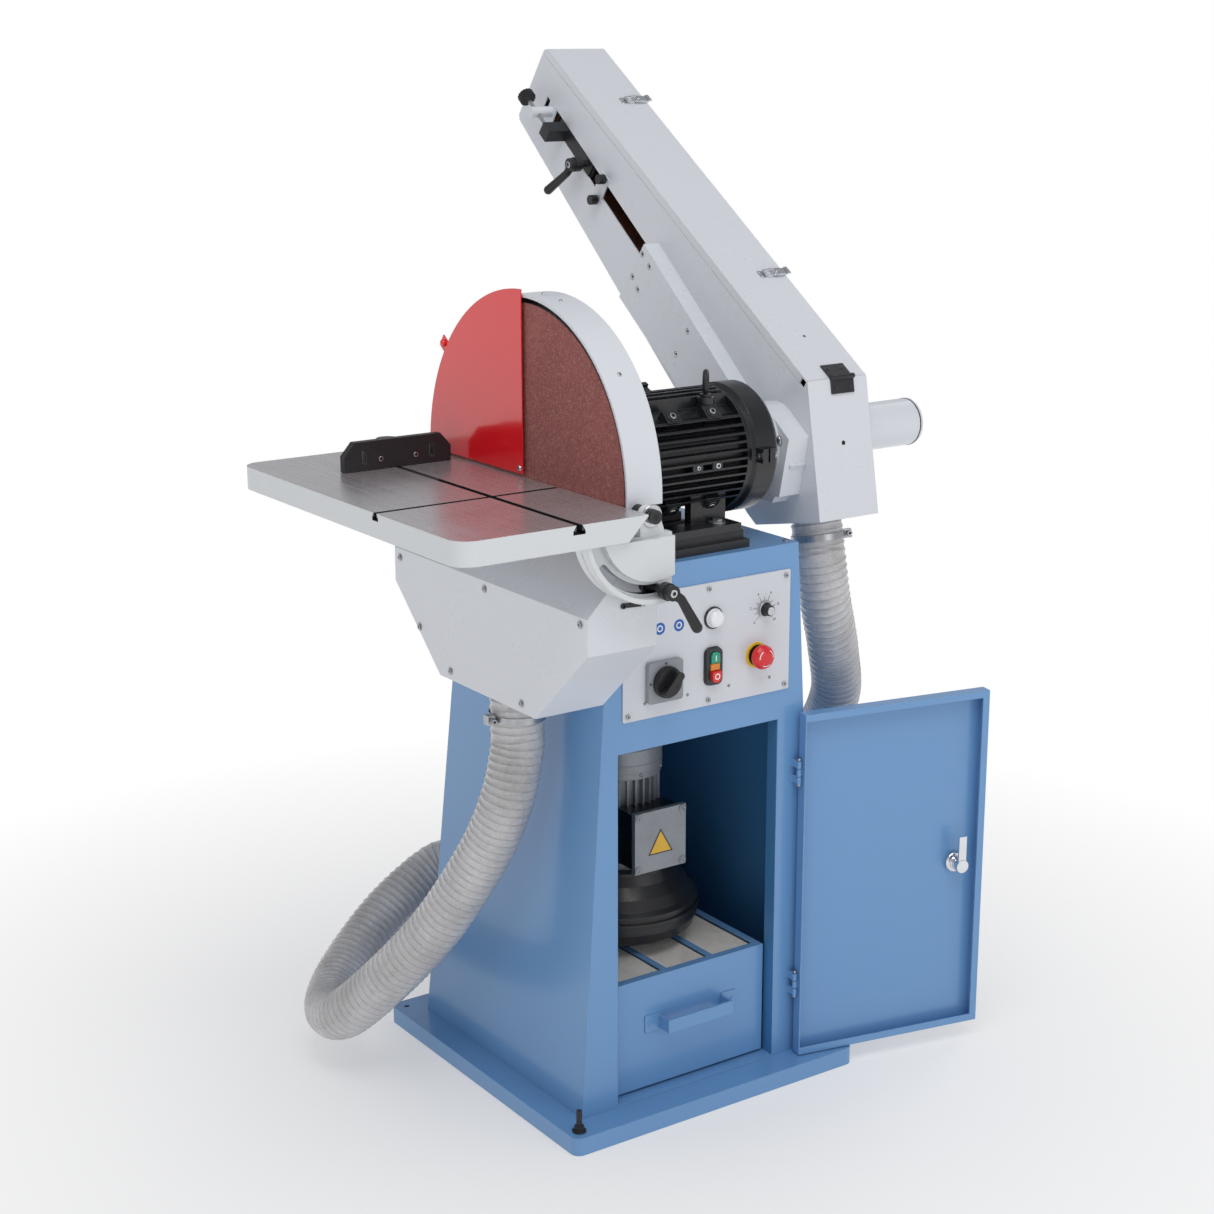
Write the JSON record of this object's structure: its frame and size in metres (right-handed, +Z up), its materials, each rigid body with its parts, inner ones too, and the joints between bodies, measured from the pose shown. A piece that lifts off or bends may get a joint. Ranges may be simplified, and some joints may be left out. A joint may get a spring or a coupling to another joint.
{
  "type": "belt disc sander",
  "caption": "Floor-standing sander: sheet-steel cabinet with dust drawer, large vertical sanding disc with tilting table, and a tilting belt arm on the same motor shaft.",
  "frame": {"origin": "centre of the base tray's underside, on the floor", "axes": "+Z up; +X towards the belt arm, so the disc faces -X; -Y is the front, with the control panel and the door"},
  "size_m": [1.061, 1.1034, 1.6309],
  "materials": {
    "blue_paint": "semi-gloss powder coat",
    "grey_paint": "semi-gloss powder coat",
    "panel_film": "satin printed plate",
    "red_paint": "gloss paint",
    "black_casting": "satin black enamel",
    "dark_steel": "black oxide",
    "black_plastic": "fine texture",
    "ground_iron": "ground top",
    "bright_steel": "turned",
    "zinc_steel": "bright zinc",
    "abrasive": "coated abrasive",
    "hose_film": "wire-wound translucent film",
    "motor_grey": "grey enamel on cast aluminium",
    "cloth": "felted filter cloth",
    "bezel": "moulded",
    "lamp_white": "frosted lens",
    "red_button": "moulded",
    "green_button": "moulded"
  },
  "bodies": {
    "machine": {"base_tray": "blue_paint", "levelling_feet": "dark_steel", "cabinet": "blue_paint", "door_hinge_pins": "bright_steel", "control_panel": "panel_film", "case_screws": "zinc_steel", "control_bezels": "bezel", "pilot_lamp": "lamp_white", "motor_frame": "black_casting", "motor_shields": "black_casting", "motor_bearings": "bright_steel", "eyebolt": "black_casting", "terminal_box": "black_casting", "motor_rail": "black_casting", "disc_guard": "grey_paint", "red_guard": "red_paint", "disc_housing": "grey_paint", "tilt_studs": "dark_steel", "hose_clamps": "zinc_steel", "disc_hose": "hose_film", "belt_hose": "hose_film", "fan_motor": "motor_grey", "fan_housing": "black_casting", "drawer_rails": "blue_paint"},
    "rotor": {"motor_shaft": "bright_steel", "disc_plate": "bright_steel", "abrasive_disc": "abrasive", "drive_drum": "dark_steel"},
    "arm": {"arm_bracket": "grey_paint", "arm_housing": "grey_paint", "shaft_guard": "grey_paint", "belt_platen": "bright_steel", "sanding_belt": "abrasive", "slot_bridge": "grey_paint", "lid_hinge": "dark_steel"},
    "lid": {"arm_lid": "grey_paint"},
    "upper_latch": {"latch_upper": "zinc_steel"},
    "lower_latch": {"latch_lower": "zinc_steel"},
    "carriage": {"idler_carriage": "dark_steel"},
    "idler": {"idler_drum": "bright_steel"},
    "screw": {"tension_screw": "dark_steel"},
    "carriage_clamp": {"carriage_lever": "black_plastic"},
    "table": {"table_top": "ground_iron", "table_trunnions": "grey_paint"},
    "front_clamp": {"tilt_lever_front": "black_plastic"},
    "rear_clamp": {"tilt_lever_rear": "black_plastic"},
    "mitre_slider": {"mitre_bar": "dark_steel"},
    "mitre": {"mitre_head": "black_casting"},
    "mitre_clamp": {"mitre_knob": "black_plastic"},
    "door": {"door_panel": "blue_paint"},
    "lock": {"door_lock": "zinc_steel"},
    "drawer": {"drawer_box": "blue_paint", "drawer_handle": "blue_paint", "filter_cloths": "cloth"},
    "estop": {"estop_button": "red_button"},
    "start": {"start_button": "green_button"},
    "stop": {"stop_button": "red_button"},
    "speed": {"speed_knob": "black_plastic"},
    "main_switch": {"main_switch_knob": "black_plastic"},
    "fan_wheel": {"impeller": "bright_steel"}
  },
  "joints": [
    {"name": "rotor_spin", "type": "hinge", "parent": "machine", "child": "rotor", "pos_m": [0, -0.1122, 1.03], "axis": [1, 0, 0], "continuous": true},
    {"name": "arm_tilt", "type": "hinge", "parent": "machine", "child": "arm", "pos_m": [0, -0.1122, 1.03], "axis": [1, 0, 0], "range_deg": [-34.35, 55.65], "deforming": ["belt_hose"]},
    {"name": "lid_swing", "type": "hinge", "parent": "arm", "child": "lid", "pos_m": [0, -0.19051, 1.13394], "axis": [1, 0, 0], "range_deg": [0, 95]},
    {"name": "upper_latch_turn", "type": "hinge", "parent": "lid", "child": "upper_latch", "pos_m": [0.328, 0.41159, 1.54495], "axis": [0, -0.8256, -0.5642], "range_deg": [0, 110]},
    {"name": "lower_latch_turn", "type": "hinge", "parent": "lid", "child": "lower_latch", "pos_m": [0.328, 0.01942, 1.27693], "axis": [0, -0.8256, -0.5642], "range_deg": [0, 110]},
    {"name": "carriage_slide", "type": "slide", "parent": "arm", "child": "carriage", "axis": [0, 0.7853, 0.6191], "range_m": [-0.012, 0.008], "deforming": ["sanding_belt"]},
    {"name": "idler_spin", "type": "hinge", "parent": "carriage", "child": "idler", "pos_m": [0, 0.49021, 1.49016], "axis": [1, 0, 0], "continuous": true},
    {"name": "screw_turn", "type": "hinge", "parent": "carriage", "child": "screw", "pos_m": [0.2, 0.49021, 1.49016], "axis": [0, 0.7853, 0.6191], "continuous": true},
    {"name": "carriage_clamp_turn", "type": "hinge", "parent": "carriage", "child": "carriage_clamp", "pos_m": [0, 0.42268, 1.43692], "axis": [1, 0, 0], "range_deg": [-50, 50]},
    {"name": "table_tilt", "type": "hinge", "parent": "machine", "child": "table", "pos_m": [-0.226, 0, 1.016], "axis": [0, -1, 0], "range_deg": [0, 45]},
    {"name": "front_clamp_turn", "type": "hinge", "parent": "machine", "child": "front_clamp", "pos_m": [-0.21756, 0, 0.91335], "axis": [0, 1, 0], "range_deg": [-60, 40]},
    {"name": "rear_clamp_turn", "type": "hinge", "parent": "machine", "child": "rear_clamp", "pos_m": [-0.21756, 0, 0.91335], "axis": [0, 1, 0], "range_deg": [-60, 40]},
    {"name": "mitre_slide", "type": "slide", "parent": "table", "child": "mitre_slider", "axis": [0, 1, 0], "range_m": [-0.36, 0.03]},
    {"name": "mitre_swivel", "type": "hinge", "parent": "mitre_slider", "child": "mitre", "pos_m": [-0.3584, 0.096, 1.024], "axis": [0, 0, 1], "range_deg": [-60, 60]},
    {"name": "mitre_clamp_turn", "type": "hinge", "parent": "mitre_slider", "child": "mitre_clamp", "pos_m": [-0.3584, 0.096, 1.024], "axis": [0, 0, 1], "range_deg": [-90, 90]},
    {"name": "door_swing", "type": "hinge", "parent": "machine", "child": "door", "pos_m": [0.1765, -0.254, 0.3], "axis": [0, 0, 1], "range_deg": [-168.5, 6]},
    {"name": "lock_turn", "type": "hinge", "parent": "door", "child": "lock", "pos_m": [0.46821, -0.31743, 0.32], "axis": [0.1994, 0.9799, 0], "range_deg": [0, 90]},
    {"name": "drawer_slide", "type": "slide", "parent": "machine", "child": "drawer", "axis": [0, -1, 0], "range_m": [0, 0.28]},
    {"name": "estop_press", "type": "slide", "parent": "machine", "child": "estop", "axis": [0, 1, 0], "range_m": [0, 0.004]},
    {"name": "start_press", "type": "slide", "parent": "machine", "child": "start", "axis": [0, 1, 0], "range_m": [0, 0.003]},
    {"name": "stop_press", "type": "slide", "parent": "machine", "child": "stop", "axis": [0, 1, 0], "range_m": [0, 0.003]},
    {"name": "speed_turn", "type": "hinge", "parent": "machine", "child": "speed", "pos_m": [0.1102, -0.2414, 0.7961], "axis": [0, 1, 0], "range_deg": [-135, 135]},
    {"name": "main_switch_turn", "type": "hinge", "parent": "machine", "child": "main_switch", "pos_m": [-0.084, -0.2414, 0.715], "axis": [0, 1, 0], "range_deg": [0, 90]},
    {"name": "fan_spin", "type": "hinge", "parent": "machine", "child": "fan_wheel", "pos_m": [-0.015, -0.035, 0.28], "axis": [0, 0, 1], "continuous": true}
  ],
  "couplings": [
    {"joint": "idler_spin", "follows": "rotor_spin", "ratio": 2},
    {"joint": "screw_turn", "follows": "carriage_slide", "rad_per_m": 5026.5}
  ]
}
